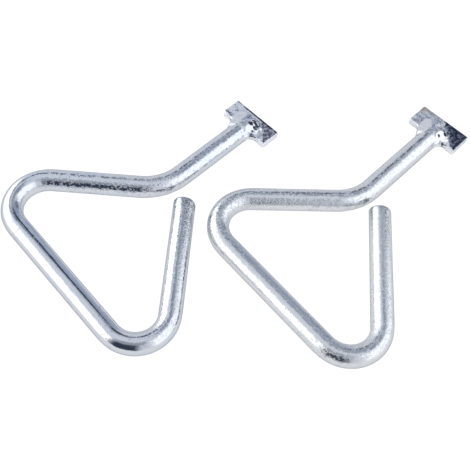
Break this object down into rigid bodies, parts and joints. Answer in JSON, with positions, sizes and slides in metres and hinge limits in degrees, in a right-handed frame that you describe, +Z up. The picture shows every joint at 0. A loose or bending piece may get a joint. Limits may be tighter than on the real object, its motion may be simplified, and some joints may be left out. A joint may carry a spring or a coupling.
{
  "type": "manhole cover lifting key pair",
  "caption": "Light lifting keys for manhole and drain covers: round zinc-plated bar bent into an open triangular handle, with a flat T plate welded across the shank's end.",
  "frame": {"origin": "on the surface that the keys lie on, under the middle of the pair's bounding box", "axes": "+X along the pair, from the left key to the right one; +Y along the handles' legs, from the grips' corners towards the heads; +Z up from the surface"},
  "size_m": [0.2117, 0.1425, 0.0108],
  "materials": {
    "zinc_bar": "bright zinc plate over drawn round bar, fine grain, slightly blue",
    "zinc_plate": "zinc plate over sheared flat bar, mottled blue-grey and stained by the weld's heat",
    "zinc_weld": "zinc plate over weld metal, lumpy and cratered"
  },
  "bodies": {
    "left_key": {"left_bent_bar": "zinc_bar", "left_head_plate": "zinc_plate", "left_top_weld": "zinc_weld", "left_under_weld": "zinc_weld"},
    "right_key": {"right_bent_bar": "zinc_bar", "right_head_plate": "zinc_plate", "right_top_weld": "zinc_weld", "right_under_weld": "zinc_weld"}
  },
  "joints": [
    {"name": "right_key_lift", "type": "slide", "parent": "left_key", "child": "right_key", "axis": [0, 0, 1], "range_m": [0, 0.15]}
  ]
}
